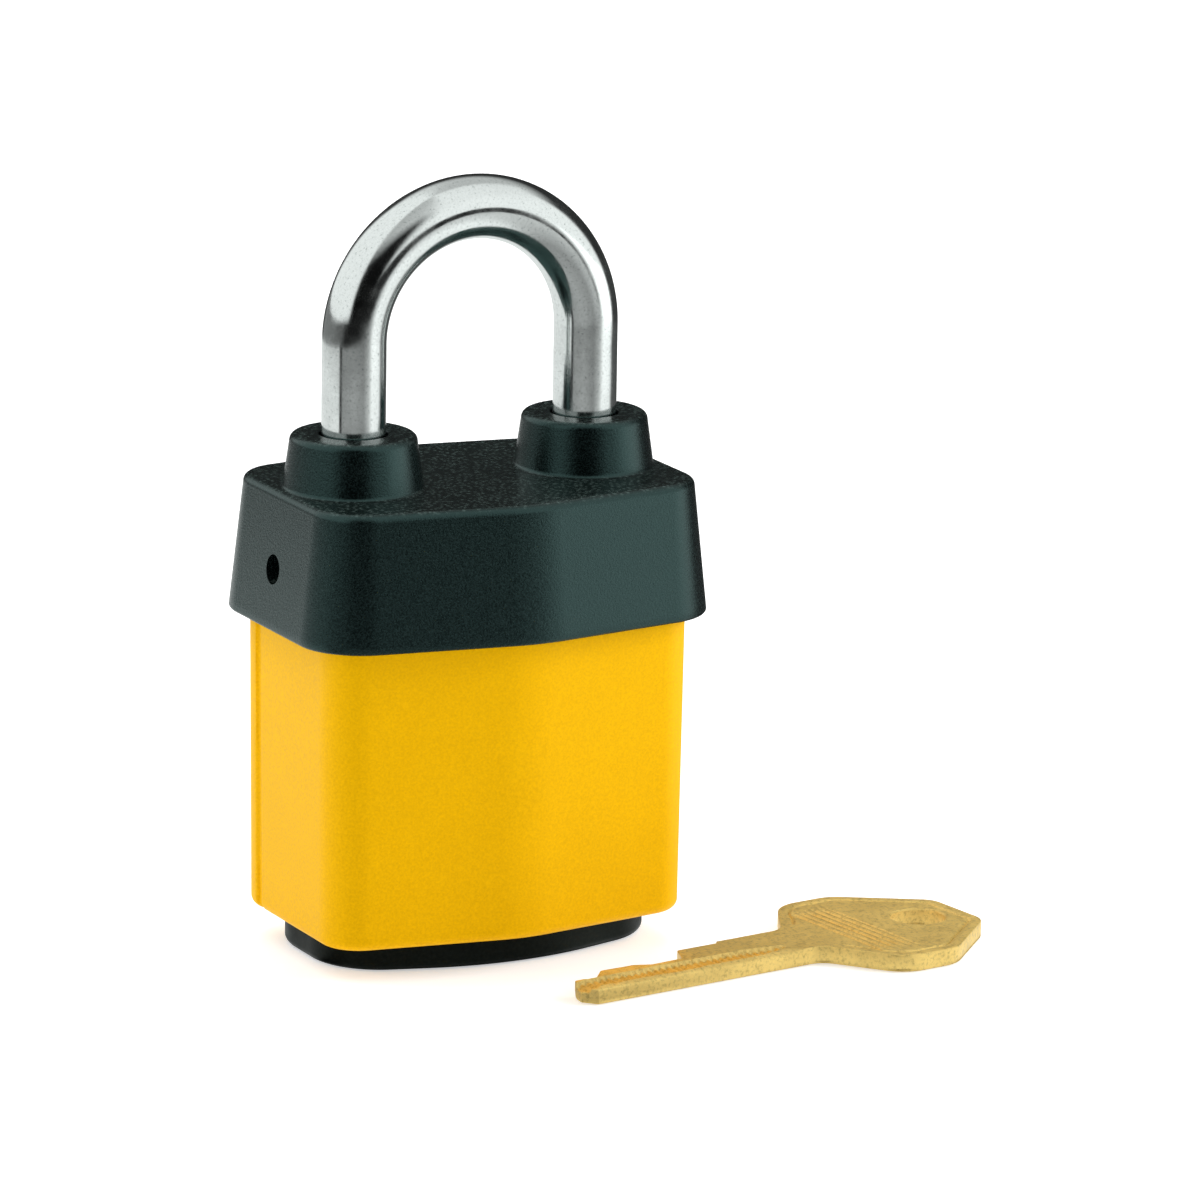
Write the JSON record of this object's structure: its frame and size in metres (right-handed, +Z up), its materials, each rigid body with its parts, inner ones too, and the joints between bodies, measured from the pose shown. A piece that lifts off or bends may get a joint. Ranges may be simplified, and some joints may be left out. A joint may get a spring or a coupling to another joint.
{
  "type": "safety padlock",
  "caption": "Padlock with a six-sided moulded case, a black top cover with two collars, a chromed round shackle, a keyway cover underneath and a flat brass key beside it.",
  "frame": {"origin": "centre of the padlock's base, on the surface it stands on", "axes": "+X across the width towards the long leg of the shackle, front towards -Y, +Z up along the plug's axis and the shackle's legs"},
  "size_m": [0.0865, 0.0587, 0.0968],
  "materials": {
    "cover_plastic": "fine moulded texture, near black",
    "case_plastic": "fine moulded texture, safety yellow",
    "base_plastic": "satin, black",
    "door_plastic": "satin, black",
    "steel": "plain bright steel",
    "dark_steel": "oiled spring steel",
    "plate_steel": "blanked and tumbled steel",
    "spring_steel": "drawn wire",
    "seal_rubber": "matte, black",
    "lock_brass": "machined",
    "key_brass": "stamped and tumbled",
    "shackle_chrome": "polished plating",
    "ball_chrome": "ground and polished"
  },
  "bodies": {
    "lock_body": {"top_cover": "cover_plastic", "case_sleeve": "case_plastic", "bottom_cap": "base_plastic", "keyway_cover_pin": "steel", "cap_screws": "steel", "cover_pins": "dark_steel", "shackle_seals": "seal_rubber", "key_gasket": "seal_rubber", "bottom_plate": "plate_steel", "cylinder_plates": "plate_steel", "spacer_plates": "plate_steel", "ball_plates": "plate_steel", "top_plate": "plate_steel", "rivets": "steel", "cylinder_housing": "lock_brass", "driver_pins": "lock_brass", "pin_springs": "spring_steel", "chamber_cap": "lock_brass", "shackle_spring": "spring_steel"},
    "shackle": {"shackle": "shackle_chrome", "heel_ring": "dark_steel"},
    "plug": {"plug": "lock_brass", "key_pins": "lock_brass", "plug_clip": "dark_steel", "locking_cam": "steel", "cam_screw": "steel"},
    "ball_toe": {"ball_toe": "ball_chrome"},
    "ball_heel": {"ball_heel": "ball_chrome"},
    "keyway_cover": {"keyway_cover": "door_plastic"},
    "key": {"key": "key_brass"}
  },
  "joints": [
    {"name": "shackle_lift", "type": "slide", "parent": "lock_body", "child": "shackle", "axis": [0, 0, 1], "range_m": [0, 0.022], "deforming": ["shackle_spring"]},
    {"name": "plug_turn", "type": "hinge", "parent": "lock_body", "child": "plug", "pos_m": [0, 0, 0], "axis": [0, 0, 1], "range_deg": [0, 90]},
    {"name": "ball_toe_slide", "type": "slide", "parent": "lock_body", "child": "ball_toe", "axis": [1, 0, 0], "range_m": [0, 0.005]},
    {"name": "ball_heel_slide", "type": "slide", "parent": "lock_body", "child": "ball_heel", "axis": [-1, 0, 0], "range_m": [0, 0.005]},
    {"name": "keyway_cover_hinge", "type": "hinge", "parent": "lock_body", "child": "keyway_cover", "pos_m": [0, 0.0094, 0.00135], "axis": [1, 0, 0], "range_deg": [0, 100]},
    {"name": "key_lift", "type": "slide", "parent": "lock_body", "child": "key", "axis": [0, 0, 1], "range_m": [0, 0.06]}
  ],
  "couplings": [
    {"joint": "plug_turn", "follows": "shackle_lift", "rad_per_m": 71.399},
    {"joint": "ball_toe_slide", "follows": "shackle_lift", "ratio": 0.2272},
    {"joint": "ball_heel_slide", "follows": "shackle_lift", "ratio": 0.2272}
  ]
}
